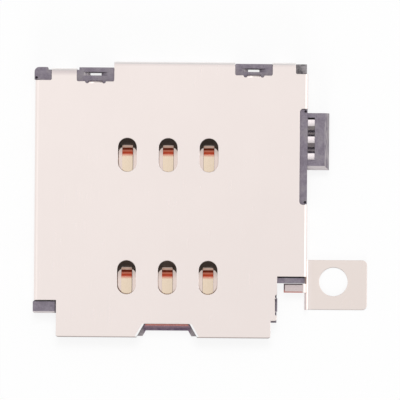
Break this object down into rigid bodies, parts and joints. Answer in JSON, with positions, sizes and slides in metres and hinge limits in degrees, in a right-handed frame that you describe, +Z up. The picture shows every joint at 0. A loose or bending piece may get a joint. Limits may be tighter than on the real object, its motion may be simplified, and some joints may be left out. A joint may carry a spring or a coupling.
{
  "type": "sim card socket",
  "caption": "Low board-mount card socket: a folded metal shell over a moulded base, sprung gold contacts under slots, a tray detect switch and a screw ear.",
  "frame": {"origin": "middle of the six-contact grid, on the board face", "axes": "+Z up from the board, +Y along the tray's way in, +X towards the screw ear"},
  "size_m": [0.0209, 0.0172, 0.0014],
  "materials": {
    "shell": "fine matt rolled sheet",
    "housing": "moulded, satin",
    "contact": "gold plated",
    "terminal": "tin plated"
  },
  "bodies": {
    "base": {"shell": "shell", "housing": "housing", "contact_1_tail": "contact", "contact_2_tail": "contact", "contact_3_tail": "contact", "contact_4_tail": "contact", "contact_5_tail": "contact", "contact_6_tail": "contact", "detect_common": "terminal", "detect_closed": "terminal", "detect_open": "terminal"},
    "contact_1": {"contact_1_arm": "contact"},
    "contact_2": {"contact_2_arm": "contact"},
    "contact_3": {"contact_3_arm": "contact"},
    "contact_4": {"contact_4_arm": "contact"},
    "contact_5": {"contact_5_arm": "contact"},
    "contact_6": {"contact_6_arm": "contact"},
    "leaf": {"detect_leaf": "contact"}
  },
  "joints": [
    {"name": "contact_1_flex", "type": "hinge", "parent": "base", "child": "contact_1", "pos_m": [-0.00254, 0.00151, 0.00027], "axis": [-1, 0, 0], "range_deg": [0, 8], "stiffness_Nm_per_rad": 0.008},
    {"name": "contact_2_flex", "type": "hinge", "parent": "base", "child": "contact_2", "pos_m": [0, 0.00151, 0.00027], "axis": [-1, 0, 0], "range_deg": [0, 8], "stiffness_Nm_per_rad": 0.008},
    {"name": "contact_3_flex", "type": "hinge", "parent": "base", "child": "contact_3", "pos_m": [0.00254, 0.00151, 0.00027], "axis": [-1, 0, 0], "range_deg": [0, 8], "stiffness_Nm_per_rad": 0.008},
    {"name": "contact_4_flex", "type": "hinge", "parent": "base", "child": "contact_4", "pos_m": [-0.00254, -0.00611, 0.00027], "axis": [-1, 0, 0], "range_deg": [0, 8], "stiffness_Nm_per_rad": 0.008},
    {"name": "contact_5_flex", "type": "hinge", "parent": "base", "child": "contact_5", "pos_m": [0, -0.00611, 0.00027], "axis": [-1, 0, 0], "range_deg": [0, 8], "stiffness_Nm_per_rad": 0.008},
    {"name": "contact_6_flex", "type": "hinge", "parent": "base", "child": "contact_6", "pos_m": [0.00254, -0.00611, 0.00027], "axis": [-1, 0, 0], "range_deg": [0, 8], "stiffness_Nm_per_rad": 0.008},
    {"name": "detect_leaf_flex", "type": "hinge", "parent": "base", "child": "leaf", "pos_m": [0.00785, 0.00561, 0.00077], "axis": [0, 0, 1], "range_deg": [0, 5], "stiffness_Nm_per_rad": 0.006}
  ]
}
